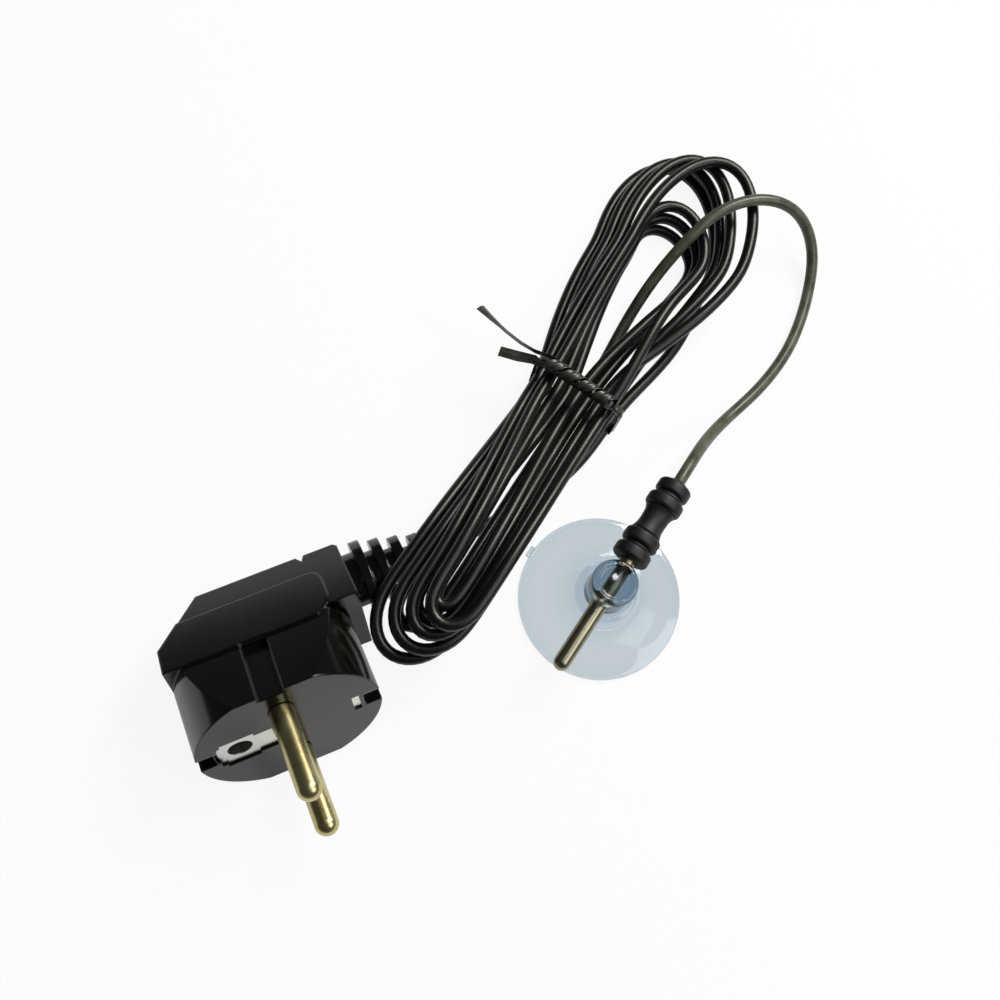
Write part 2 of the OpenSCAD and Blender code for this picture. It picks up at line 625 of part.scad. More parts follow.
// Twist tie: a strip round the waist, twisted on top, with its two ends left long.
tie_left = hank_x - waist_outer - waist_stagger - cord_r - 0.5;
tie_right = lead_waist_x + cord_r + 0.2;
tie_top = floor_z(waist_y - tie_w) + cord_d + hank_step * (wide_count - 1) + 0.45;
twist_w = 2.8;
twist_l = 16;
module tie_end(points, z0, z1) {
    for (i = [0 : len(points) - 2]) hull() for (j = [i, i + 1])
        translate([points[j][0], points[j][1], z0 + (z1 - z0) * j / (len(points) - 1)])
            cylinder(r = tie_w / 2, h = tie_t, $fn = 10);
}
module twist_tie() {
    color([0.05, 0.05, 0.05]) {
        translate([0, waist_y + tie_w / 2, 0]) rotate([90, 0, 0]) linear_extrude(tie_w) difference() {
            translate([tie_left - tie_t, 0.05])
                square([tie_right - tie_left + 2 * tie_t, tie_top + tie_t]);
            translate([tie_left, tie_t + 0.05]) square([tie_right - tie_left, tie_top - tie_t]);
        }
        translate([tie_right - 3, waist_y - 0.2, tie_top + tie_t + twist_w / 2 - 0.2]) rotate([0, -90, 0])
            linear_extrude(twist_l, twist = -900, slices = 30) for (s = [-1, 1])
                translate([s * twist_w / 4, 0]) circle(r = twist_w / 3.6, $fn = 8);
        tie_end([[-37, waist_y + 0.4], [-44.6, 33.5], [-56, 35.7]], tie_top + tie_t, tie_top - 1);
        tie_end([[-37, waist_y - 0.6], [-40.5, 31.4], [-47, 29.7]], tie_top + tie_t, tie_top - 1);
    }
}

probe_rod();
crimp_sleeve();
rod_conductor();
seal_sleeve();
cord_gland();
gland_cord_end();
suction_cup();
cord_tail();
cord_hank();
cord_lead();
twist_tie();
plug_body();
pin_bridge();
line_pin();
neutral_pin();
earth_strip();
earth_contact();
earth_crimp();
plug_conductor();
plug_cord_end();
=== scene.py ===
# Aquarium grounding probe on a hanked lead. The rod, its rubber gland and the clear suction cup
# lie beside the folded cord and its angled mains plug. Lengths are millimetres, turned to metres
# where the meshes are made.
import math

import bmesh
import bpy
from mathutils import Matrix, Vector


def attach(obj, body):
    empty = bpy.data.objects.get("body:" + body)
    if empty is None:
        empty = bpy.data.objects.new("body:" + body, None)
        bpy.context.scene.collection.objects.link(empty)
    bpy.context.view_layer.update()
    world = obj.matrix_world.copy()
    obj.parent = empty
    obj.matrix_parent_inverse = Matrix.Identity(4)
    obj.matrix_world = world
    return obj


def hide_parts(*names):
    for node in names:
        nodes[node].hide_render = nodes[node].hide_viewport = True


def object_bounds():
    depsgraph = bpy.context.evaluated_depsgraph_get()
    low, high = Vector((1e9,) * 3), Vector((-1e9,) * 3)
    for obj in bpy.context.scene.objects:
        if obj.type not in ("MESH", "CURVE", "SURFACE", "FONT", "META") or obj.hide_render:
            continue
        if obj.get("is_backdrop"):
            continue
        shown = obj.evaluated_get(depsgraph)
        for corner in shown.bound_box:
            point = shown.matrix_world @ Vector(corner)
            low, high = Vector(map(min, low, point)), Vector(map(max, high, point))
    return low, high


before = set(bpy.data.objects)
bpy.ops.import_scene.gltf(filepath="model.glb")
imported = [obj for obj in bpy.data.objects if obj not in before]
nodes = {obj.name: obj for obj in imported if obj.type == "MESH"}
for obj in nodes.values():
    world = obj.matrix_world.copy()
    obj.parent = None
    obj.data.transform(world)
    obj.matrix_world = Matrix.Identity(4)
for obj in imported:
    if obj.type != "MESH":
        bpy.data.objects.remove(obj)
cad_box = [list(corner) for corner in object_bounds()]
MM = 0.001


# ---------------------------------------------------------------- table, lamps and camera
# A white table top under soft studio lamps, looked down on from the rod's side. The camera sees
# the table nearly white, through clear vinyl too, and reflections see it dimmer. It ends just
# left of the plug, whose flat side then mirrors the darker room.
def linear(code):
    """An sRGB hex code as linear red, green, blue and alpha."""
    parts = [int(code[i : i + 2], 16) / 255 for i in (1, 3, 5)]
    return [c / 12.92 if c <= 0.04045 else ((c + 0.055) / 1.055) ** 2.4 for c in parts] + [1.0]


def add(tree, kind, links=None, **settings):
    """One node, with its settings, its sockets' values and the links that run into it."""
    made = tree.nodes.new(kind)
    for name, value in settings.items():
        setattr(made, name, value)
    for socket, value in (links or {}).items():
        if isinstance(value, bpy.types.NodeSocket):
            tree.links.new(value, made.inputs[socket])
        else:
            made.inputs[socket].default_value = value
    return made


def new_material(name):
    """A material and its emptied node tree."""
    made = bpy.data.materials.new(name)
    made.use_nodes = True
    made.node_tree.nodes.clear()
    return made, made.node_tree


SENSOR = 36.0
camera = bpy.data.objects.new("camera", bpy.data.cameras.new("camera"))
bpy.context.scene.collection.objects.link(camera)
bpy.context.scene.camera = camera
camera.data.sensor_fit = "HORIZONTAL"
camera.data.sensor_width = SENSOR
camera.data.lens = 1.25 * SENSOR
camera.data.clip_start = 0.01
ahead = Vector((-0.0561, 0.2527, -0.9659)).normalized()
upward = Vector((-0.5563, 0.7954, 0.2404))
upward = (upward - ahead * upward.dot(ahead)).normalized()
turn = Matrix((ahead.cross(upward), upward, -ahead)).transposed().to_4x4()
camera.matrix_world = Matrix.Translation(Vector((-14.3, -62.7, 262.4)) * MM) @ turn

# How much of the table is a plain white glow, to the eye and in reflections; the rest is paper.
GLOW_SEEN = 0.91
GLOW_MIRRORED = 0.4
table_look, tree = new_material("white_table_top")
rays = add(tree, "ShaderNodeLightPath").outputs
direct = {0: rays["Is Camera Ray"], 1: rays["Is Transmission Ray"]}
direct = add(tree, "ShaderNodeMath", direct, operation="MAXIMUM").outputs[0]
direct = add(tree, "ShaderNodeMath", {0: direct, 1: GLOW_SEEN}, operation="MULTIPLY").outputs[0]
mirrored = {0: rays["Is Glossy Ray"], 1: GLOW_MIRRORED, 2: direct}
share = add(tree, "ShaderNodeMath", mirrored, operation="MULTIPLY_ADD", use_clamp=True)
paper = add(tree, "ShaderNodeBsdfDiffuse", {"Color": linear("#f2f2f0")})
glow = add(tree, "ShaderNodeEmission", {"Color": (1, 1, 1, 1), "Strength": 1.0})
mixed = add(tree, "ShaderNodeMixShader", {0: share.outputs[0], 1: paper.outputs[0], 2: glow.outputs[0]})
add(tree, "ShaderNodeOutputMaterial", {"Surface": mixed.outputs[0]})

TABLE_LEFT, TABLE_RIGHT, TABLE_HALF = -0.2, 0.26, 0.28
TABLE_Z = -0.0001
table_mesh = bpy.data.meshes.new("table_top")
corners = [(x, -TABLE_HALF, TABLE_Z) for x in (TABLE_LEFT, TABLE_RIGHT)]
corners += [(x, TABLE_HALF, TABLE_Z) for x in (TABLE_RIGHT, TABLE_LEFT)]
table_mesh.from_pydata(corners, [], [(0, 1, 2, 3)])
table_mesh.materials.append(table_look)
table = bpy.data.objects.new("table_top", table_mesh)
bpy.context.scene.collection.objects.link(table)
table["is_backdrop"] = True

ROOM_LIGHT = 0.07
world = bpy.data.worlds.new("studio")
bpy.context.scene.world = world
world.use_nodes = True
tree = world.node_tree
tree.nodes.clear()
white = add(tree, "ShaderNodeBackground", {"Color": (1, 1, 1, 1), "Strength": 1.0})
room = add(tree, "ShaderNodeBackground", {"Color": linear("#e9eef2"), "Strength": ROOM_LIGHT})
seen = add(tree, "ShaderNodeLightPath").outputs["Is Camera Ray"]
mixed = add(tree, "ShaderNodeMixShader", {0: seen, 1: room.outputs[0], 2: white.outputs[0]})
add(tree, "ShaderNodeOutputWorld", {"Surface": mixed.outputs[0]})

AIM = Vector((-0.02, 0.0, 0.0))
for name, place, size, power, tint in (
    ("key_lamp", (0.45, 0.10, 0.55), (0.40, 0.40), 1.4, "#ffffff"),
    ("back_lamp", (0.06, 0.66, 0.70), (0.34, 0.52), 8.3, "#fffdf4"),
    ("top_lamp", (0.10, 0.16, 0.90), (0.08, 0.08), 0.4, "#eef5ff"),
):
    lamp = bpy.data.lights.new(name, "AREA")
    lamp.shape = "RECTANGLE"
    lamp.size, lamp.size_y = size
    lamp.energy = power
    lamp.color = linear(tint)[:3]
    holder = bpy.data.objects.new(name, lamp)
    bpy.context.scene.collection.objects.link(holder)
    holder.location = place
    holder.rotation_euler = (AIM - Vector(place)).to_track_quat("-Z", "Y").to_euler()


# ---------------------------------------------------------------- cord
# One thin single-core cord, 2.6 mm across, sheathed in glossy black vinyl. It leaves the rubber
# gland, crosses the hank, is folded in seven loops, and ends in the strain relief of the plug.
# Its route is the solids' own.
CORD_D = 2.6
CORD_R = CORD_D / 2
STEP = 3.05
HANK_X = -29.2
WAIST_Y = 33.0
TOP_Y = 74.0
TIE_T = 0.5
LOOPS = 7
LOOP_POINTS = 96
HANK_END = 6 + 20 / 24
WIDE = 4
WAIST_WIDE, WAIST_NARROW = 7.0, 2.1
STAGGER = 1.1
NARROW_RIGHT = (5.2, 6.25, 2.9)


def ease(f):
    """A share that starts and ends gently."""
    f = min(1.0, max(0.0, f))
    return f * f * (3 - 2 * f)


# Loops 0 to 3 are the wide ones, and climb. Loops 4 to 6 are narrow, and come down inside them.
# A loop has two bends, and a pair of sides is a bend's left and right end across the hank.
def level(k):
    return k if k < WIDE else LOOPS - 1 - k


def waist_half(k):
    return WAIST_WIDE if k < WIDE else WAIST_NARROW


def top_sides(k):
    return (-15.8 + 2.3 * k, 10.5 + 0.19 * k**3) if k < WIDE else (-8.1, 7.9 - 0.7 * (k - WIDE))


def top_long(k):
    return 22 + k if k < WIDE else 11 - 2 * (k - WIDE)


def top_lean(k):
    return -8 + 0.12 * k**3 if k < WIDE else -4.5


def top_tilt(k):
    return 4 if k < WIDE else 2


def low_sides(k):
    if k < WIDE:
        return -8.5 + 2.9 * k, 9 - 0.6 * math.cos(math.pi * k)
    return 0.5 - 2.8 * (k - WIDE), NARROW_RIGHT[k - WIDE]


def low_long(k):
    return 12 - 2 * k if k < WIDE else 2.5 + 0.6 * (k - WIDE)


def low_y(k):
    return low_long(k) + (-36.8 + 3 * k if k < WIDE else -24.8 - 2.9 * (k - WIDE))


def underside(y):
    """Height of the hank's underside: over the tie's band, and up on the plug's relief."""
    return 12.8 * ease((36 - y) / 50) + (TIE_T + 0.2) * (1 - ease(abs(y - WAIST_Y) / 18))


def seat(x, y, lev, extra=0.0):
    """A point of the hank: across it, along it, and as many levels above its underside."""
    tilt = math.atan(underside(y + 0.5) - underside(y - 0.5))
    rise = STEP * lev + extra
    z = CORD_R + underside(y) + rise * math.cos(tilt)
    return Vector((HANK_X + x, y - rise * math.sin(tilt), z))


def bend(sides, angle, y, tilt, long, lean):
    """A bend's x and y: half an oval between its two sides, which may lean over."""
    half, middle = (sides[1] - sides[0]) / 2, (sides[1] + sides[0]) / 2
    x = middle + half * math.cos(angle) + lean * math.sin(angle)
    return x, y + tilt * math.cos(angle) + long * math.sin(angle)


def run_x(k, f, side):
    """Place across a run, from the waist up (f above 0) or down (f below 0)."""
    sides = top_sides(k) if f > 0 else low_sides(k)
    e = ease(f) ** (0.55 if side < 0 else 1.1) if f > 0 else ease(-f)
    return side * waist_half(k) * (1 - e) + sides[side > 0] * e


def stagger(lev, f):
    """Every other level is set aside at the waist, so that the strands nest."""
    return -STAGGER * math.cos(math.pi * lev) * (1 - ease(abs(f)))


def hank_point(g):
    """The cord's centre after g loops: top bend, left run, lower bend, and up the right run.

    They take 8, 4, 6 and 6 parts of the loop's 24, and the waist is at 10 and at 20.
    """
    k = int(g + 1e-6)
    i = (g - k) * 24
    lev = level(k)
    if i <= 8:
        angle = math.pi * i / 8
        return seat(*bend(top_sides(k), angle, TOP_Y, top_tilt(k), top_long(k), top_lean(k)), lev)
    if i <= 12:
        f = (10 - i) / 2
        y = WAIST_Y + ((TOP_Y - top_tilt(k) - WAIST_Y) if f > 0 else (WAIST_Y - low_y(k))) * f
        return seat(run_x(k, f, -1) + stagger(lev, f), y, lev)
    if i <= 18:
        angle = math.pi * (1 + (i - 12) / 6)
        return seat(*bend(low_sides(k), angle, low_y(k), 0, low_long(k), 0), lev)
    if i <= 20:
        f = (i - 20) / 2
        return seat(run_x(k, f, 1) + stagger(lev, f), WAIST_Y + (WAIST_Y - low_y(k)) * f, lev)
    f = (i - 20) / 4
    n = min(k + 1, LOOPS - 1)
    m = ease(1.4 * f)
    lev += (level(n) - lev) * (m if k < WIDE - 1 else ease(2 * f - 1))
    hop = 1.8 * math.sin(math.pi * f) if k == WIDE - 1 else 0.0
    across = run_x(k, f, 1) * (1 - m) + run_x(n, f, 1) * m
    return seat(across + stagger(lev, f), WAIST_Y + (TOP_Y + top_tilt(n) - WAIST_Y) * f, lev, hop)


def spline(points, steps):
    """A smooth line through the points, each stretch of it cut in so many steps."""
    line = []
    for i in range(len(points) - 1):
        a, b, c, d = (points[j] for j in (max(0, i - 1), i, i + 1, min(len(points) - 1, i + 2)))
        for j in range(steps):
            t = j / steps
            square, cube = (2 * a - 5 * b + 4 * c - d) * t**2, (3 * b - a - 3 * c + d) * t**3
            line.append(0.5 * (2 * b + (c - a) * t + square + cube))
    return line + [points[-1]]


# The plug lies on one flat side, which tapers by 21 degrees, with its grip 0.5 mm proud of it.
FLAT_HALF = 17.0
side_taper = math.radians(21)
plug_at = Vector((-36.5, -59.3, FLAT_HALF * math.cos(side_taper) + 0.5))
plug_axes = Matrix.Rotation(math.radians(56.4), 3, "Z") @ Matrix.Rotation(math.pi / 2 - side_taper, 3, "X")


def on_plug(x, y, z):
    """A point in the plug's own axes: towards the cord, up from the table, along the pins."""
    return plug_at + plug_axes @ Vector((x, y, z))


RELIEF_Z = -26.0
HOUSING_X = 21.4
RIBS, RIB_PITCH = 4, 3.9
NOSE_L = 2
RELIEF_END = HOUSING_X + 0.9 + RIBS * RIB_PITCH + NOSE_L
GLAND_END = Vector((0, 26.8, 14))
relief_exit = on_plug(RELIEF_END, 0, RELIEF_Z)
straight = Vector((0, CORD_D + 0.1, 0))
hank_run = [hank_point(i / LOOP_POINTS) for i in range(round(HANK_END * LOOP_POINTS) + 1)]
hank_line = [hank_run[0] - straight] + hank_run + [hank_run[-1] + straight]
lead_points = (
    (-30.7, -6, 6), (-27.8, 0, 4.2), (-25.2, 6, 2.6), (-22.6, 12.5, 1.6), (-20.6, 19, 1.35),
    (-19.6, 26, 1.6), (-19.5, 33, 2), (-18.8, 41, 1.6), (-17.3, 50, 1.35), (-16.5, 58, 1.35),
    (-17.2, 66, 1.35),
)
tail_points = (
    (-27.6, 43, 1.6), (-28.4, 51, 2), (-29, 59, 4), (-28.9, 67, 7.4), (-27.8, 75, 11.2),
    (-26, 83, 13.8), (-22.6, 90, 14.1), (-17.6, 95, 13.6), (-12, 97.8, 11.5), (-6.6, 98, 7.6),
    (-2, 95, 4), (1.2, 89.4, 1.8), (3.6, 82, 1.35), (5, 74, 1.35), (5, 66, 1.35), (3.9, 58.5, 1.35),
    (2.2, 51.5, 2.4), (0.9, 45, 5.2), (0.2, 39, 9), (0, 33.5, 12.6),
)
relief_ahead = on_plug(RELIEF_END + CORD_D + 0.1, 0, RELIEF_Z)
lead_route = [relief_ahead] + [Vector(p) for p in lead_points] + [hank_line[0] - straight]
tail_route = [hank_line[-1] + straight] + [Vector(p) for p in tail_points] + [GLAND_END + straight]
whole_line = [relief_exit] + spline(lead_route, 6) + hank_line + spline(tail_route, 6) + [GLAND_END]


def even(line, gap):
    """The line's points again, an even distance apart."""
    spans = [(b - a).length for a, b in zip(line, line[1:])]
    count = round(sum(spans) / gap)
    gap = sum(spans) / count
    out, i, walked = [line[0]], 0, 0.0
    for j in range(1, count):
        while walked + spans[i] < j * gap:
            walked += spans[i]
            i += 1
        out.append(line[i].lerp(line[i + 1], (j * gap - walked) / spans[i]))
    return out + [line[-1]]


# A cord rounds off every kink, so each point is drawn to the middle of its neighbours.
POINT_GAP = 1.5
ROUNDS = 6
cord_line = even(whole_line, POINT_GAP)
for _ in range(ROUNDS):
    inner = [(a + 2 * b + c) / 4 for a, b, c in zip(cord_line[1:], cord_line[2:-2], cord_line[3:])]
    cord_line = cord_line[:2] + inner + cord_line[-2:]
cord_line.reverse()
cord_length = sum((b - a).length for a, b in zip(cord_line, cord_line[1:]))

cord_curve = bpy.data.curves.new("cord", "CURVE")
cord_curve.dimensions = "3D"
cord_curve.bevel_depth = CORD_R * MM
cord_curve.bevel_resolution = 5
cord_curve.use_fill_caps = True
strand = cord_curve.splines.new("POLY")
strand.points.add(len(cord_line) - 1)
for point, place in zip(strand.points, cord_line):
    point.co = (*(place * MM), 1)
strand.use_smooth = True
cord = bpy.data.objects.new("cord", cord_curve)
bpy.context.scene.collection.objects.link(cord)

# Extruded vinyl: a deep black with an olive cast that comes and goes along the cord, every 40 mm
# or so, over ripples about 3 mm long. A grey sheen, broken up by the ripples, is painted on the
# loose tail at the gland: this painted highlight covers its first 100 mm and fades out over the next 60 mm.
vinyl, tree = new_material("glossy_black_vinyl_sheath")
place = add(tree, "ShaderNodeTexCoord").outputs["Object"]
cast = add(tree, "ShaderNodeTexNoise", {"Vector": place, "Scale": 25.0, "Detail": 1.0}).outputs["Fac"]
ripple = add(tree, "ShaderNodeTexNoise", {"Vector": place, "Scale": 330.0, "Detail": 2.0}).outputs["Fac"]
unrolled = add(tree, "ShaderNodeUVMap", uv_map="UVMap").outputs[0]
run = add(tree, "ShaderNodeSeparateXYZ", {0: unrolled}).outputs["X"]
gone = {"From Min": 160 / cord_length, "From Max": 100 / cord_length}
tail_sheen_share = add(tree, "ShaderNodeMapRange", {"Value": run} | gone).outputs[0]
# painted highlight: a grey sheen on the loose tail, broken up by the ripples
painted_tail_sheen = add(tree, "ShaderNodeMath", {0: tail_sheen_share, 1: ripple}, operation="MULTIPLY").outputs[0]
tone = add(tree, "ShaderNodeMix", {0: cast, 6: linear("#06080a"), 7: linear("#15150c")}, data_type="RGBA")
tone = add(tree, "ShaderNodeMix", {0: painted_tail_sheen, 6: tone.outputs[2], 7: linear("#6d715f")}, data_type="RGBA")
sheen = add(tree, "ShaderNodeMapRange", {"Value": ripple, "To Min": 0.24, "To Max": 0.42})
skin = add(tree, "ShaderNodeBump", {"Height": ripple, "Strength": 0.2, "Distance": 0.0001})
sheath = {"Base Color": tone.outputs[2], "Roughness": sheen.outputs[0], "Normal": skin.outputs[0]}
plastic = add(tree, "ShaderNodeBsdfPrincipled", sheath | {"IOR": 1.46})
add(tree, "ShaderNodeOutputMaterial", {"Surface": plastic.outputs[0]})
cord_curve.materials.append(vinyl)


def give(look, *solids):
    """Solids that are shown as they are take a material."""
    for solid in solids:
        nodes[solid].data.materials.clear()
        nodes[solid].data.materials.append(look)


give(vinyl, "gland_cord_end", "plug_cord_end")
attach(cord, "probe_and_cord")
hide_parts("cord_tail", "cord_hank", "cord_lead")


# ---------------------------------------------------------------- rod
# The probe itself: a 3.5 mm rod of stainless steel or titanium, cut from drawn bar, with a
# turned dome. Its inner end is turned down to a spigot that sits in a crimp inside the gland.
def lathe(name, outline, origin, axis, sides):
    """Turns an outline of [radius, distance along] in millimetres about an axis."""
    axis = Vector(axis).normalized()
    across = axis.orthogonal().normalized()
    up = axis.cross(across)
    mesh = bmesh.new()
    rings = []
    for radius, along in outline:
        angles = [2 * math.pi * j / sides for j in range(sides if radius > 0 else 1)]
        reach = [(across * math.cos(a) + up * math.sin(a)) * radius for a in angles]
        rings.append([mesh.verts.new((Vector(origin) + axis * along + out) * MM) for out in reach])
    pairs = list(zip(rings, rings[1:]))
    if outline[0][0] > 0 and outline[-1][0] > 0:
        pairs.append((rings[-1], rings[0]))
    for one, two in pairs:
        for j in range(sides):
            round_one = [ring[i % len(ring)] for ring, i in ((one, j), (one, j + 1), (two, j + 1), (two, j))]
            corners = list(dict.fromkeys(round_one))
            if len(corners) > 2:
                mesh.faces.new(corners)
    bmesh.ops.recalc_face_normals(mesh, faces=mesh.faces)
    return finished(name, mesh)


def finished(name, mesh, sharp=35):
    """An object from a bmesh, shaded smooth with its sharper edges kept."""
    data = bpy.data.meshes.new(name)
    mesh.to_mesh(data)
    mesh.free()
    data.shade_smooth()
    if sharp:
        data.set_sharp_from_angle(angle=math.radians(sharp))
    made = bpy.data.objects.new(name, data)
    bpy.context.scene.collection.objects.link(made)
    return made


ROD_R = 1.75
KNOB_R = 4.8
GLAND_Y = KNOB_R + 2
ROD_TIP = GLAND_Y - 27
SPIGOT_Y = GLAND_Y + 7
SPIGOT_R = 0.9
SPIGOT_END = SPIGOT_Y + 4
BORE_H = 14.0
ROUND = 64
rod_axis = ((0, 0, BORE_H), (0, 1, 0))
turns = [math.radians(a) for a in range(0, 91, 6)]
rod_outline = [(ROD_R * math.sin(a), ROD_TIP + ROD_R * (1 - math.cos(a))) for a in turns]
rod_outline += [(ROD_R, SPIGOT_Y - 0.1), (ROD_R - 0.1, SPIGOT_Y), (SPIGOT_R, SPIGOT_Y)]
rod_outline += [(SPIGOT_R, SPIGOT_END), (0, SPIGOT_END)]
rod = lathe("rod", rod_outline, *rod_axis, ROUND)

# Drawn steel: marks 0.4 mm wide and a dozen long run along it, and handling has left it a warm
# satin grey, patched every 4 mm or so.
steel, tree = new_material("drawn_stainless_steel")
place = add(tree, "ShaderNodeTexCoord").outputs["Object"]
along = add(tree, "ShaderNodeMapping", {"Vector": place, "Scale": (2600.0, 90.0, 2600.0)}).outputs[0]
marks = add(tree, "ShaderNodeTexNoise", {"Vector": along, "Scale": 1.0, "Detail": 4.0}).outputs["Fac"]
stain = add(tree, "ShaderNodeTexNoise", {"Vector": place, "Scale": 260.0, "Detail": 2.0}).outputs["Fac"]
tone = add(tree, "ShaderNodeMix", {0: stain, 6: linear("#87806a"), 7: linear("#a8a38d")}, data_type="RGBA")
gloss = add(tree, "ShaderNodeMapRange", {"Value": marks, "To Min": 0.2, "To Max": 0.4})
skin = add(tree, "ShaderNodeBump", {"Height": marks, "Strength": 0.15, "Distance": 0.00005})
bar = {"Base Color": tone.outputs[2], "Roughness": gloss.outputs[0], "Normal": skin.outputs[0]}
metal = add(tree, "ShaderNodeBsdfPrincipled", bar | {"Metallic": 1.0})
add(tree, "ShaderNodeOutputMaterial", {"Surface": metal.outputs[0]})
rod.data.materials.append(steel)
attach(rod, "probe_and_cord")
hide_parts("probe_rod")


# ---------------------------------------------------------------- crimp and seal
# A brass sleeve joins the rod's spigot to the cord's bare copper, and a shrunk tube keeps the
# water out. All three are closed in by the gland.

# Tinned brass, yellow under its grey, and pitted every 0.7 mm by the crimping jaws.
brass, tree = new_material("tinned_brass_crimp")
place = add(tree, "ShaderNodeTexCoord").outputs["Object"]
pitting = add(tree, "ShaderNodeTexNoise", {"Vector": place, "Scale": 1500.0, "Detail": 3.0}).outputs["Fac"]
tone = add(tree, "ShaderNodeMix", {0: pitting, 6: linear("#b9aa7c"), 7: linear("#d6cfb4")}, data_type="RGBA")
dent = add(tree, "ShaderNodeBump", {"Height": pitting, "Strength": 0.3, "Distance": 0.00005})
crimped = {"Base Color": tone.outputs[2], "Normal": dent.outputs[0], "Roughness": 0.34, "Metallic": 1.0}
metal = add(tree, "ShaderNodeBsdfPrincipled", crimped)
add(tree, "ShaderNodeOutputMaterial", {"Surface": metal.outputs[0]})

# Bare copper wire: strands 0.4 mm across, laid up in a long twist.
copper, tree = new_material("bare_copper_strands")
place = add(tree, "ShaderNodeTexCoord").outputs["Object"]
lay = add(tree, "ShaderNodeMapping", {"Vector": place, "Rotation": (0.0, 0.0, 0.35)}).outputs[0]
strands = add(tree, "ShaderNodeTexWave", {"Vector": lay, "Scale": 800.0, "Distortion": 0.6}).outputs["Fac"]
tone = add(tree, "ShaderNodeMix", {0: strands, 6: linear("#8a4f35"), 7: linear("#c98a67")}, data_type="RGBA")
dent = add(tree, "ShaderNodeBump", {"Height": strands, "Strength": 0.6, "Distance": 0.0001})
wire = {"Base Color": tone.outputs[2], "Normal": dent.outputs[0], "Roughness": 0.3, "Metallic": 1.0}
metal = add(tree, "ShaderNodeBsdfPrincipled", wire)
add(tree, "ShaderNodeOutputMaterial", {"Surface": metal.outputs[0]})

# Shrunk polyolefin tube: matt black, with faint rings where it drew in over the sleeve.
shrunk, tree = new_material("shrunk_polyolefin_tube")
place = add(tree, "ShaderNodeTexCoord").outputs["Object"]
drawn = add(tree, "ShaderNodeMapping", {"Vector": place, "Scale": (200.0, 1400.0, 200.0)}).outputs[0]
rings = add(tree, "ShaderNodeTexNoise", {"Vector": drawn, "Scale": 1.0, "Detail": 2.0}).outputs["Fac"]
tone = add(tree, "ShaderNodeMix", {0: rings, 6: linear("#191a1a"), 7: linear("#26282a")}, data_type="RGBA")
dent = add(tree, "ShaderNodeBump", {"Height": rings, "Strength": 0.3, "Distance": 0.0001})
tube = {"Base Color": tone.outputs[2], "Normal": dent.outputs[0], "Roughness": 0.5, "IOR": 1.5}
plastic = add(tree, "ShaderNodeBsdfPrincipled", tube)
add(tree, "ShaderNodeOutputMaterial", {"Surface": plastic.outputs[0]})

give(brass, "crimp_sleeve", "earth_crimp")
give(copper, "rod_conductor", "plug_conductor")
give(shrunk, "seal_sleeve")


# ---------------------------------------------------------------- gland
# A moulded rubber gland, pushed over the rod and the sealed crimp. Two rings stand at each end
# of a drawn-in waist, and its mouth closes on the cord.
GLAND_R = 4.0
GLAND_WAIST_R = 2.8
GLAND_EDGE = 0.9
GROOVE_R = GLAND_R - 0.8
RING_L = 3.0
GROOVE_L = 0.6
SNUG = 0.05
SEAL_R = 2.0
SEAL_END = SPIGOT_Y + 8.5


def gland_ring(start, radius):
    """The outline of one ring, its two edges rounded."""
    edge = min(GLAND_EDGE, RING_L / 2)
    turns = [math.radians(a) for a in range(0, 91, 10)]
    rise = [(radius - edge + edge * math.sin(a), start + edge * (1 - math.cos(a))) for a in turns]
    return rise + [(r, 2 * start + RING_L - y) for r, y in reversed(rise)]


def ring_pair(start, first, second):
    """Two rings and the groove between them."""
    groove = start + RING_L
    floor = [(GROOVE_R, groove + 0.1), (GROOVE_R, groove + GROOVE_L - 0.1)]
    return gland_ring(start, first) + floor + gland_ring(groove + GROOVE_L, second)


mouth = GLAND_END.y
waist = ((0.5, 6.9), (0.25, 7.6), (0.05, 8.4), (0, 9.6))
gland_outline = (
    [(ROD_R + SNUG, GLAND_Y + 0.25), (ROD_R + 0.3, GLAND_Y)]
    + ring_pair(GLAND_Y, GLAND_R, GLAND_R)
    + [(GLAND_WAIST_R + out, GLAND_Y + along) for out, along in waist]
    + [(GLAND_WAIST_R + out, mouth - back) for out, back in ((0.1, 8.6), (0.3, 7.9), (0.6, 7.3))]
    + ring_pair(mouth - 7.2, GLAND_R, GLAND_R - 0.3)
    + [(CORD_R + 1.1, mouth - 0.45), (CORD_R + 0.6, mouth), (CORD_R + 0.1, mouth)]
    + [(CORD_R + SNUG, mouth - 0.2), (CORD_R + SNUG, SEAL_END), (SEAL_R, SEAL_END)]
    + [(SEAL_R, SPIGOT_Y), (ROD_R + SNUG, SPIGOT_Y)]
)
gland = lathe("gland", gland_outline, *rod_axis, 72)

# Black rubber: matt, with a faint grey bloom in patches 3 mm wide, and a skin as fine as the
# mould's blasted steel.
rubber, tree = new_material("moulded_black_rubber")
place = add(tree, "ShaderNodeTexCoord").outputs["Object"]
grain = add(tree, "ShaderNodeTexNoise", {"Vector": place, "Scale": 3500.0, "Detail": 2.0}).outputs["Fac"]
bloom = add(tree, "ShaderNodeTexNoise", {"Vector": place, "Scale": 300.0, "Detail": 3.0}).outputs["Fac"]
tone = add(tree, "ShaderNodeMix", {0: bloom, 6: linear("#08090b"), 7: linear("#101113")}, data_type="RGBA")
dull = add(tree, "ShaderNodeMapRange", {"Value": bloom, "To Min": 0.42, "To Max": 0.62})
skin = add(tree, "ShaderNodeBump", {"Height": grain, "Strength": 0.25, "Distance": 0.00005})
matt = {"Base Color": tone.outputs[2], "Roughness": dull.outputs[0], "Normal": skin.outputs[0], "IOR": 1.5}
surface = add(tree, "ShaderNodeBsdfPrincipled", matt)
add(tree, "ShaderNodeOutputMaterial", {"Surface": surface.outputs[0]})
gland.data.materials.append(rubber)
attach(gland, "probe_and_cord")
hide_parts("cord_gland")


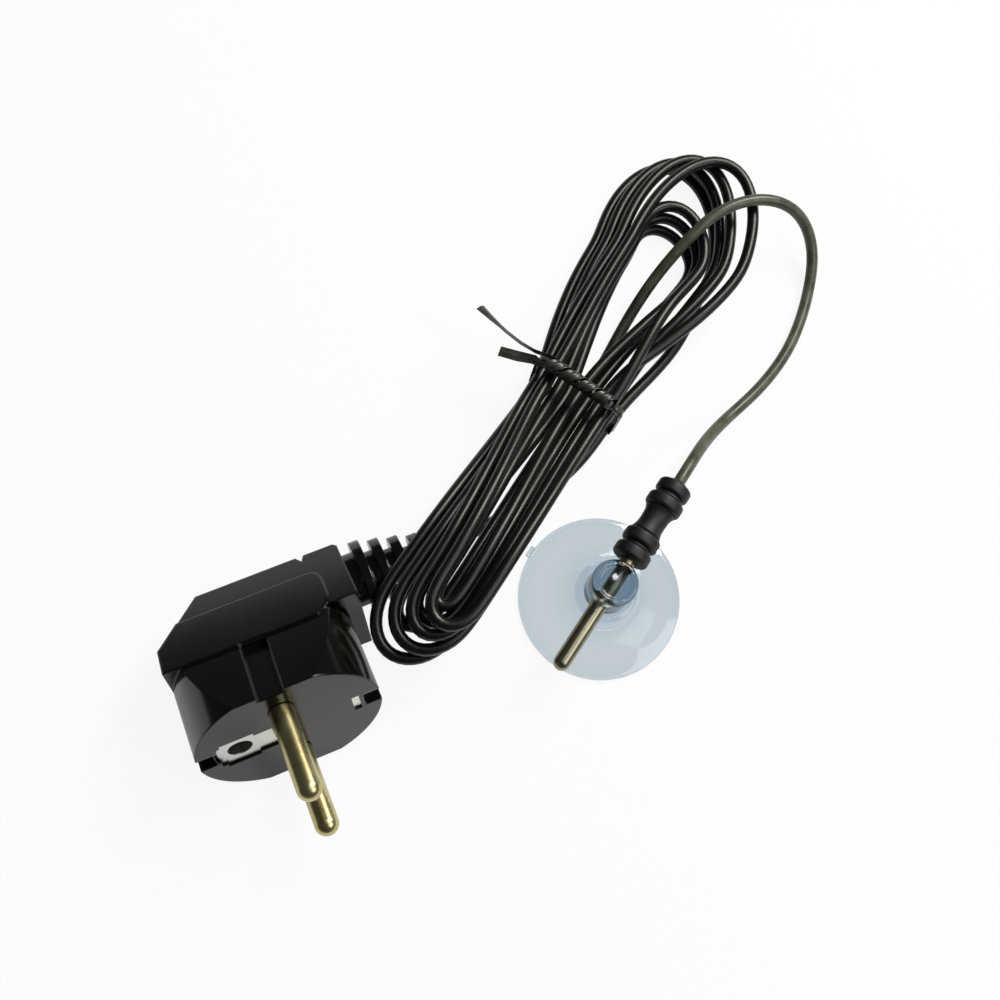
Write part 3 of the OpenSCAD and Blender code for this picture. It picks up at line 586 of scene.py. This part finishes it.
# ---------------------------------------------------------------- suction cup
# One moulding of clear soft vinyl: a thin skirt with a hollow under it, a foot ring, and a knob
# with a cross bore, in which the rod slides. A tab on the rim breaks the suction.
CUP_R = 17.5
CUP_TOP = 20.0
FOOT_R = KNOB_R + 0.8
RIM_TOP = 0.95
SKIRT_RISE = 6.65
HOLLOW_R = 16.4
HOLLOW_H = 5.4
HOLLOW_Z = 0.12
BORE_HALF = 8


def skirt_point(t):
    return CUP_R - (CUP_R - FOOT_R) * t, RIM_TOP + SKIRT_RISE * t**1.35


def hollow_point(t):
    return HOLLOW_R * t, HOLLOW_H * (1 - t**2) + HOLLOW_Z


# from the knob's sunk top, out and down to the rim, and back up under the skirt
knob_top = ((3.7, 0), (KNOB_R - 0.75, 0), (KNOB_R - 0.4, 0.1), (KNOB_R - 0.1, 0.4), (KNOB_R, 0.8))
foot = ((-0.7, 9.6), (-0.4, 9.2), (0.4, 9.0), (0.8, 8.8), (0.95, 8.4), (1.0, 7.5), (1.2, 7.15))
rim = ((0.3, 1.0), (0.08, 0.9), (0, 0.7), (0, 0.25), (0.1, 0.06), (0.3, 0), (0.8, 0), (1.0, HOLLOW_Z))
cup_outline = (
    [(r, CUP_TOP - down) for r, down in ((0, 0.35), (2.9, 0.35), (3.3, 0.25), (3.5, 0.05)) + knob_top]
    + [(KNOB_R, z) for z in (18, 16, 14, 12, 10.2)]
    + [(FOOT_R + out, z) for out, z in foot]
    + [skirt_point(t / 20) for t in range(17, 0, -1)]
    + [(CUP_R - back, z) for back, z in rim]
    + [hollow_point(t / 24) for t in range(23, -1, -1)]
)
cup = lathe("vinyl_cup", cup_outline, (0, 0, 0), (0, 0, 1), 2 * ROUND)

# The bore is a hair under the rod, so that no film of air lies between the rod and the vinyl.
BORE_R = ROD_R - 0.01
bore_outline = [(0, -BORE_HALF), (BORE_R, -BORE_HALF), (BORE_R, BORE_HALF), (0, BORE_HALF)]
bore = lathe("cup_bore", bore_outline, *rod_axis, ROUND)
TAB_AT = Vector((-17.35, 0, 0.72))
TAB_SIZE = Vector((1.9, 2.6, 1.1))
tab = bmesh.new()
bmesh.ops.create_cube(tab, size=1.0)
for corner in tab.verts:
    corner.co = (TAB_AT + TAB_SIZE * corner.co) * MM
bmesh.ops.bevel(tab, geom=tab.edges[:], offset=0.35 * MM, segments=4, affect="EDGES", profile=0.5)
tab = finished("cup_tab", tab)
for tool, deed in ((bore, "DIFFERENCE"), (tab, "UNION")):
    cut = cup.modifiers.new(tool.name, "BOOLEAN")
    cut.object = tool
    cut.operation = deed
    cut.solver = "EXACT"
bpy.context.view_layer.update()
moulded = bpy.data.meshes.new_from_object(cup.evaluated_get(bpy.context.evaluated_depsgraph_get()))
cup.modifiers.clear()
cup.data = moulded
cup.data.name = "vinyl_cup"
cup.data.set_sharp_from_angle(angle=math.radians(40))
for tool in (bore, tab):
    bpy.data.objects.remove(tool)

# Clear plasticised vinyl: it bends light like glass, and its bluish tint deepens with thickness.
# The moulded skin has ripples 2 mm across that blur what lies behind.
clear, tree = new_material("clear_soft_vinyl")
place = add(tree, "ShaderNodeTexCoord").outputs["Object"]
flow = add(tree, "ShaderNodeTexNoise", {"Vector": place, "Scale": 500.0, "Detail": 2.0}).outputs["Fac"]
sheen = add(tree, "ShaderNodeMapRange", {"Value": flow, "To Min": 0.03, "To Max": 0.12})
skin = add(tree, "ShaderNodeBump", {"Height": flow, "Strength": 0.12, "Distance": 0.0001})
gel = {"Roughness": sheen.outputs[0], "Normal": skin.outputs[0], "Transmission Weight": 1.0, "IOR": 1.5}
surface = add(tree, "ShaderNodeBsdfPrincipled", gel | {"Base Color": linear("#cdd6dc")})
tint = add(tree, "ShaderNodeVolumeAbsorption", {"Color": linear("#a4bccb"), "Density": 150.0})
add(tree, "ShaderNodeOutputMaterial", {"Surface": surface.outputs[0], "Volume": tint.outputs[0]})
cup.data.materials.clear()
cup.data.materials.append(clear)
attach(cup, "cup")
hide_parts("suction_cup")


# ---------------------------------------------------------------- twist tie
# A wire tie in a flat black plastic coat. It goes once round the hank's waist, its two ends are
# twisted together on top, and both are left long.
TIE_W = 2.4
LEAD_X = -19.5
TIE_LEFT = HANK_X - waist_half(0) - STAGGER - CORD_R - 0.5
TIE_RIGHT = LEAD_X + CORD_R + 0.2
TIE_TOP = underside(WAIST_Y - TIE_W) + CORD_D + STEP * (WIDE - 1) + 0.45
TWIST_Z = TIE_TOP + 2.1
TWIST_FROM, TWIST_TO = TIE_RIGHT - 3, TIE_RIGHT - 19
TURNS = 2.0
WIND_R = 1.25
TWIST_STEPS = 40
BAND_CORNER = 1.6
BAND_LOW = 0.35


def twist_point(share, side):
    """A strip's centre and facing in the twisted stretch, at a share of it from the right end."""
    angle = 2 * math.pi * TURNS * share + (0 if side > 0 else math.pi)
    out = Vector((0, math.cos(angle), math.sin(angle)))
    x = TWIST_FROM + (TWIST_TO - TWIST_FROM) * share
    return Vector((x, WAIST_Y - 0.1, TWIST_Z)) + out * WIND_R, out


# From the long end through the twist, round the waist, and back through it to the short end.
long_end = (
    ((-56.0, 35.7, TIE_TOP - 0.6), (0.1, 0.5, 0.9)),
    ((-52.0, 34.8, TIE_TOP - 0.2), (0.1, 0.7, 0.7)),
    ((-48.0, 34.0, TIE_TOP + 0.3), (0.1, 0.9, 0.45)),
    ((-44.0, 33.5, TIE_TOP + 0.8), (0.1, 1.0, 0.2)),
    ((-40.5, 33.5, TIE_TOP + 1.3), (0.1, 1.0, 0.1)),
)
short_end = (
    ((-39.8, 31.9, TIE_TOP + 1.0), (0.0, 0.15, 1.0)),
    ((-43.0, 30.8, TIE_TOP + 0.4), (0.0, 0.0, 1.0)),
    ((-47.0, 29.7, TIE_TOP - 0.3), (0.0, 0.1, 1.0)),
)
shares = [i / TWIST_STEPS for i in range(TWIST_STEPS + 1)]
tie_path = [(Vector(spot), Vector(facing)) for spot, facing in long_end]
tie_path += [twist_point(1 - share, 1) for share in shares]
for x, z, start in (
    (TIE_RIGHT - BAND_CORNER, TIE_TOP - BAND_CORNER, 90),
    (TIE_RIGHT - BAND_CORNER, BAND_LOW + BAND_CORNER, 0),
    (TIE_LEFT + BAND_CORNER, BAND_LOW + BAND_CORNER, -90),
    (TIE_LEFT + BAND_CORNER, TIE_TOP - BAND_CORNER, -180),
):
    for angle in (math.radians(start - 15 * i) for i in range(7)):
        out = Vector((math.cos(angle), 0, math.sin(angle)))
        tie_path.append((Vector((x, WAIST_Y, z)) + out * (BAND_CORNER + 0.15), out))
tie_path += [twist_point(share, -1) for share in shares]
tie_path += [(Vector(spot), Vector(facing)) for spot, facing in short_end]

tie_mesh = bpy.data.meshes.new("wire_tie_path")
tie_mesh.from_pydata([spot * MM for spot, _ in tie_path], [(i, i + 1) for i in range(len(tie_path) - 1)], [])
facings = tie_mesh.attributes.new("facing", "FLOAT_VECTOR", "POINT")
for item, (_, facing) in zip(facings.data, tie_path):
    item.vector = facing.normalized()
tie = bpy.data.objects.new("wire_tie", tie_mesh)
bpy.context.scene.collection.objects.link(tie)

# The coat is extruded over the wire as a flat strip with a rib in its middle. It is a dull black,
# creased every 2 mm or so where it was twisted, and the creases carry a painted grey sheen.
coat, tree = new_material("extruded_tie_coat")
place = add(tree, "ShaderNodeTexCoord").outputs["Object"]
crease_and_painted_sheen = add(tree, "ShaderNodeTexNoise", {"Vector": place, "Scale": 480.0, "Detail": 1.0}).outputs["Fac"]
# painted sheen: the creases are painted a lighter grey, for the light they catch
tone = add(tree, "ShaderNodeMix", {0: crease_and_painted_sheen, 6: linear("#1d1e1a"), 7: linear("#42443c")}, data_type="RGBA")
sheen = add(tree, "ShaderNodeMapRange", {"Value": crease_and_painted_sheen, "To Min": 0.24, "To Max": 0.38})
skin = add(tree, "ShaderNodeBump", {"Height": crease_and_painted_sheen, "Strength": 0.12, "Distance": 0.0001})
strip = {"Base Color": tone.outputs[2], "Roughness": sheen.outputs[0], "Normal": skin.outputs[0], "IOR": 1.5}
surface = add(tree, "ShaderNodeBsdfPrincipled", strip)
add(tree, "ShaderNodeOutputMaterial", {"Surface": surface.outputs[0]})

sweep = bpy.data.node_groups.new("strip_along_path", "GeometryNodeTree")
sockets = {}
for label, kind in (
    ("Path", "NodeSocketGeometry"),
    ("Strip Width", "NodeSocketFloat"),
    ("Strip Thickness", "NodeSocketFloat"),
    ("Wire Diameter", "NodeSocketFloat"),
    ("Coat", "NodeSocketMaterial"),
):
    sockets[label] = sweep.interface.new_socket(label, in_out="INPUT", socket_type=kind).identifier
sweep.interface.new_socket("Strip", in_out="OUTPUT", socket_type="NodeSocketGeometry")
given = add(sweep, "NodeGroupInput").outputs
facing = add(sweep, "GeometryNodeInputNamedAttribute", {"Name": "facing"}, data_type="FLOAT_VECTOR")
path = add(sweep, "GeometryNodeMeshToCurve", {"Mesh": given["Path"]}).outputs[0]
turned = {"Curve": path, "Normal": facing.outputs[0]}
path = add(sweep, "GeometryNodeSetCurveNormal", turned, mode="FREE").outputs[0]
# The strip's outline starts as a circle: its height becomes the width, and its breadth the
# thickness, which grows to the wire's over the middle third.
ring = add(sweep, "GeometryNodeCurvePrimitiveCircle", {"Resolution": 28, "Radius": 1.0}).outputs[0]
spot = add(sweep, "ShaderNodeSeparateXYZ", {0: add(sweep, "GeometryNodeInputPosition").outputs[0]}).outputs
off = add(sweep, "ShaderNodeMath", {0: spot["Y"]}, operation="ABSOLUTE").outputs[0]
rib = {"Value": off, "From Min": 0.16, "From Max": 0.34, "To Min": 1.0, "To Max": 0.0}
swell = add(sweep, "ShaderNodeMapRange", rib, interpolation_type="SMOOTHSTEP").outputs[0]
extra = {0: given["Wire Diameter"], 1: given["Strip Thickness"]}
extra = add(sweep, "ShaderNodeMath", extra, operation="SUBTRACT").outputs[0]
thick = {0: extra, 1: swell, 2: given["Strip Thickness"]}
thick = add(sweep, "ShaderNodeMath", thick, operation="MULTIPLY_ADD").outputs[0]
breadth = add(sweep, "ShaderNodeMath", {0: spot["X"], 1: thick}, operation="MULTIPLY").outputs[0]
height = {0: spot["Y"], 1: given["Strip Width"]}
height = add(sweep, "ShaderNodeMath", height, operation="MULTIPLY").outputs[0]
flat = add(sweep, "ShaderNodeCombineXYZ", {0: breadth, 1: height}).outputs[0]
half = add(sweep, "ShaderNodeVectorMath", {0: flat, "Scale": 0.5}, operation="SCALE").outputs[0]
outline = add(sweep, "GeometryNodeSetPosition", {"Geometry": ring, "Position": half}).outputs[0]
swept = {"Curve": path, "Profile Curve": outline, "Fill Caps": True}
made = add(sweep, "GeometryNodeCurveToMesh", swept).outputs[0]
made = add(sweep, "GeometryNodeRealizeInstances", {"Geometry": made}).outputs[0]
made = add(sweep, "GeometryNodeSetMaterial", {"Geometry": made, "Material": given["Coat"]}).outputs[0]
add(sweep, "NodeGroupOutput", {0: made})

follow = tie.modifiers.new("strip", "NODES")
follow.node_group = sweep
for label, value in (
    ("Strip Width", TIE_W * MM),
    ("Strip Thickness", 0.34 * MM),
    ("Wire Diameter", 0.75 * MM),
    ("Coat", coat),
):
    follow[sockets[label]] = value
bpy.context.view_layer.update()
swept = bpy.data.meshes.new_from_object(tie.evaluated_get(bpy.context.evaluated_depsgraph_get()))
tie.modifiers.clear()
tie.data = swept
tie.data.name = "wire_tie"
tie.data.shade_smooth()
tie.data.set_sharp_from_angle(angle=math.radians(50))
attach(tie, "probe_and_cord")
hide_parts("twist_tie")


# ---------------------------------------------------------------- plug body
# An angled mains plug with a moulded PVC body: round face part, grip with a slanted end, guide
# grooves, cord housing and ribbed strain relief. Its edges are softened by the mould.
JOIN_WITHIN = 0.002
FLAT_WITHIN = math.radians(0.5)
EDGE_FROM = math.radians(28)


def merged(node):
    """A bmesh of a CAD solid, its points joined and its flat faces whole."""
    mesh = bmesh.new()
    mesh.from_mesh(nodes[node].data)
    bmesh.ops.remove_doubles(mesh, verts=mesh.verts[:], dist=JOIN_WITHIN * MM)
    whole = {"verts": mesh.verts[:], "edges": mesh.edges[:], "delimit": set()}
    bmesh.ops.dissolve_limit(mesh, angle_limit=FLAT_WITHIN, **whole)
    return mesh


def dressed(name, mesh, edge, steps, cutters=()):
    """A piece from a bmesh: cut, its edges rounded, and shaded so that its flats stay flat."""
    made = finished(name, mesh, sharp=None)
    for tool in cutters:
        cut = made.modifiers.new(tool.name, "BOOLEAN")
        cut.object = tool
        cut.operation = "DIFFERENCE"
        cut.solver = "EXACT"
    rounded = made.modifiers.new("edges", "BEVEL")
    rounded.width = edge * MM
    rounded.segments = steps
    rounded.limit_method = "ANGLE"
    rounded.angle_limit = EDGE_FROM
    rounded.use_clamp_overlap = True
    flat = made.modifiers.new("flat_faces", "WEIGHTED_NORMAL")
    flat.keep_sharp = True
    flat.weight = 100
    bpy.context.view_layer.update()
    made.data = bpy.data.meshes.new_from_object(made.evaluated_get(bpy.context.evaluated_depsgraph_get()))
    made.modifiers.clear()
    made.data.name = name
    return made


def in_plug(place):
    """A mesh point's place in the plug's own axes, in millimetres."""
    return plug_axes.transposed() @ (place / MM - plug_at)


# Each flat side has a guide groove 5 mm wide and 1.4 mm deep. The solid's groove is cut level
# with the pins: its front is filled again here, and the floor then follows the tapered side.
GROOVE_LEFT, GROOVE_RIGHT = -3.1, 1.9
GROOVE_DEEP, GROOVE_L = 1.4, 14.6
SOLID_FLOOR, FILLED_FLOOR = 12.6, FLAT_HALF - 0.8
PAST = 3
NEAR = 0.05
body_mesh = merged("plug_body")
for corner in body_mesh.verts:
    spot = in_plug(corner.co)
    at_front = abs(spot.z) < NEAR and abs(abs(spot.y) - SOLID_FLOOR) < NEAR
    if at_front and GROOVE_LEFT - 2 * NEAR < spot.x < GROOVE_RIGHT + 2 * NEAR:
        corner.co = on_plug(spot.x, math.copysign(FILLED_FLOOR, spot.y), 0) * MM
grooves = []
for side in (1, -1):
    block = bmesh.new()
    ends = []
    for x in (GROOVE_LEFT - NEAR, GROOVE_RIGHT + NEAR):
        ring = []
        for z, drop in ((1, GROOVE_DEEP), (-GROOVE_L, GROOVE_DEEP), (-GROOVE_L, -PAST), (1, -PAST)):
            y = FLAT_HALF + z * math.tan(side_taper) - drop
            ring.append(block.verts.new(on_plug(x, side * y, z) * MM))
        ends.append(ring)
    block.faces.new(ends[0])
    block.faces.new(ends[1][::-1])
    for i in range(4):
        block.faces.new((ends[0][i - 1], ends[0][i], ends[1][i], ends[1][i - 1]))
    bmesh.ops.recalc_face_normals(block, faces=block.faces)
    grooves.append(finished("groove", block))
plug = dressed("plug_moulding", body_mesh, 0.35, 3, grooves)
for tool in grooves:
    bpy.data.objects.remove(tool)

# Moulded PVC, black through and through: the skin is nearly as smooth as the mould, with spark
# marks 0.3 mm across that only soften its reflections.
moulded_pvc, tree = new_material("moulded_black_pvc")
place = add(tree, "ShaderNodeTexCoord").outputs["Object"]
spark = add(tree, "ShaderNodeTexNoise", {"Vector": place, "Scale": 3000.0, "Detail": 2.0}).outputs["Fac"]
wear = add(tree, "ShaderNodeTexNoise", {"Vector": place, "Scale": 90.0, "Detail": 3.0}).outputs["Fac"]
tone = add(tree, "ShaderNodeMix", {0: wear, 6: linear("#060804"), 7: linear("#0b0d08")}, data_type="RGBA")
sheen = add(tree, "ShaderNodeMapRange", {"Value": wear, "To Min": 0.12, "To Max": 0.18})
soft = add(tree, "ShaderNodeBevel", {"Radius": 0.0006}, samples=6).outputs[0]
skin = add(tree, "ShaderNodeBump", {"Height": spark, "Strength": 0.06, "Distance": 0.00005, "Normal": soft})
body = {"Base Color": tone.outputs[2], "Roughness": sheen.outputs[0], "Normal": skin.outputs[0], "IOR": 1.5}
surface = add(tree, "ShaderNodeBsdfPrincipled", body)
add(tree, "ShaderNodeOutputMaterial", {"Surface": surface.outputs[0]})
plug.data.materials.append(moulded_pvc)
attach(plug, "probe_and_cord")
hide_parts("plug_body")


# ---------------------------------------------------------------- pins and bridge
# Two solid brass pins, turned with a domed tip and a shank that is riveted through a nylon
# bridge, over which the body is moulded. They carry no current in a grounding probe.
PIN_R = 2.4
PIN_L = 19.0
PIN_APART = 19.0
NECK_R = PIN_R - 0.4
SHANK_R = 1.4
RIVET_R = 1.7
BRIDGE_TOP = -1.5
BRIDGE_LOW = BRIDGE_TOP - 6.5
rivet_end = BRIDGE_LOW - 1.2
rivet_low, shoulder = BRIDGE_LOW - 0.05, BRIDGE_TOP + 0.05
pin_outline = [(0, rivet_end), (RIVET_R - 0.2, rivet_end), (RIVET_R, rivet_end + 0.2), (RIVET_R, rivet_low)]
pin_outline += [(SHANK_R, rivet_low), (SHANK_R, shoulder), (NECK_R, shoulder)]
pin_outline += [(NECK_R, 0), (PIN_R - 0.15, 0), (PIN_R, 0.15)]
dome = [math.radians(a) for a in range(90, -1, -6)]
pin_outline += [(PIN_R * math.sin(a), PIN_L - PIN_R + PIN_R * math.cos(a)) for a in dome[:-1]] + [(0, PIN_L)]

# Turned brass, pale where it is clean: tool marks 0.15 mm across, drawn with the smallest relief
# that shows, and brownish stains about 4 mm wide.
pin_metal, tree = new_material("turned_brass")
place = add(tree, "ShaderNodeTexCoord").outputs["Object"]
stain = add(tree, "ShaderNodeTexNoise", {"Vector": place, "Scale": 240.0, "Detail": 3.0}).outputs["Fac"]
tool = add(tree, "ShaderNodeTexNoise", {"Vector": place, "Scale": 6500.0, "Detail": 1.0}).outputs["Fac"]
tone = add(tree, "ShaderNodeMix", {0: stain, 6: linear("#b4a368"), 7: linear("#e8dfb2")}, data_type="RGBA")
gloss = add(tree, "ShaderNodeMapRange", {"Value": stain, "To Min": 0.22, "To Max": 0.36})
skin = add(tree, "ShaderNodeBump", {"Height": tool, "Strength": 0.08, "Distance": 0.00002})
turned = {"Base Color": tone.outputs[2], "Roughness": gloss.outputs[0], "Normal": skin.outputs[0]}
metal = add(tree, "ShaderNodeBsdfPrincipled", turned | {"Metallic": 1.0})
add(tree, "ShaderNodeOutputMaterial", {"Surface": metal.outputs[0]})

pin_axis = plug_axes @ Vector((0, 0, 1))
for name, side in (("line_pin", 1), ("neutral_pin", -1)):
    pin = lathe("brass_" + name, pin_outline, on_plug(0, side * PIN_APART / 2, 0), pin_axis, 72)
    pin.data.materials.append(pin_metal)
    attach(pin, "probe_and_cord")
    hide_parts(name)

# Natural nylon: ivory, a little waxy, clouded every 2 mm or so.
nylon, tree = new_material("moulded_natural_nylon")
place = add(tree, "ShaderNodeTexCoord").outputs["Object"]
cloud = add(tree, "ShaderNodeTexNoise", {"Vector": place, "Scale": 500.0, "Detail": 2.0}).outputs["Fac"]
tone = add(tree, "ShaderNodeMix", {0: cloud, 6: linear("#ded6bd"), 7: linear("#ece7d6")}, data_type="RGBA")
skin = add(tree, "ShaderNodeBump", {"Height": cloud, "Strength": 0.15, "Distance": 0.0001})
waxy = {"Base Color": tone.outputs[2], "Normal": skin.outputs[0], "Roughness": 0.42, "IOR": 1.53}
surface = add(tree, "ShaderNodeBsdfPrincipled", waxy)
add(tree, "ShaderNodeOutputMaterial", {"Surface": surface.outputs[0]})
give(nylon, "pin_bridge")


# ---------------------------------------------------------------- earth strip and contact
# A stamped brass strip, nickel plated, lies across the face under two windows. Its ends turn down
# as clips in the side notches, and a tube behind its holed plate takes the socket's earth pin.
# The clips are set 3 mm deeper in their notches than the solid's.
CLIP_FROM = 15.15
CLIP_TOP = -2.5
CLIP_DOWN = 3.0

# Bright nickel over rolled brass: rolling marks 0.2 mm wide and 3 mm long run along the strip.
plated, tree = new_material("bright_nickel_plate")
place = add(tree, "ShaderNodeTexCoord").outputs["Object"]
turned = add(tree, "ShaderNodeMapping", {"Vector": place, "Rotation": (0.0, 0.0, -0.98)}).outputs[0]
rolled = add(tree, "ShaderNodeMapping", {"Vector": turned, "Scale": (330.0, 6000.0, 3000.0)}).outputs[0]
marks = add(tree, "ShaderNodeTexNoise", {"Vector": rolled, "Scale": 1.0, "Detail": 3.0}).outputs["Fac"]
tone = add(tree, "ShaderNodeMix", {0: marks, 6: linear("#dcdad2"), 7: linear("#f1f0ec")}, data_type="RGBA")
gloss = add(tree, "ShaderNodeMapRange", {"Value": marks, "To Min": 0.22, "To Max": 0.4})
skin = add(tree, "ShaderNodeBump", {"Height": marks, "Strength": 0.1, "Distance": 0.00003})
plate = {"Base Color": tone.outputs[2], "Roughness": gloss.outputs[0], "Normal": skin.outputs[0]}
metal = add(tree, "ShaderNodeBsdfPrincipled", plate | {"Metallic": 1.0})
add(tree, "ShaderNodeOutputMaterial", {"Surface": metal.outputs[0]})
for name, edge in (("earth_strip", 0.12), ("earth_contact", 0.08)):
    stamped_mesh = merged(name)
    for corner in stamped_mesh.verts:
        spot = in_plug(corner.co)
        if abs(spot.x) > CLIP_FROM and spot.z > CLIP_TOP and name == "earth_strip":
            corner.co = on_plug(spot.x, spot.y, spot.z - CLIP_DOWN) * MM
    stamped = dressed(name.replace("earth", "nickel"), stamped_mesh, edge, 2)
    stamped.data.materials.append(plated)
    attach(stamped, "probe_and_cord")
    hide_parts(name)


# ---------------------------------------------------------------- sizes
# The bounds of the solids and of the scene's own pieces are gathered side by side, and the
# view transform is set to Standard.
size = {"cad": cad_box, "visual": [list(corner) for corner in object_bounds()]}
bpy.context.scene.view_settings.view_transform = "Standard"
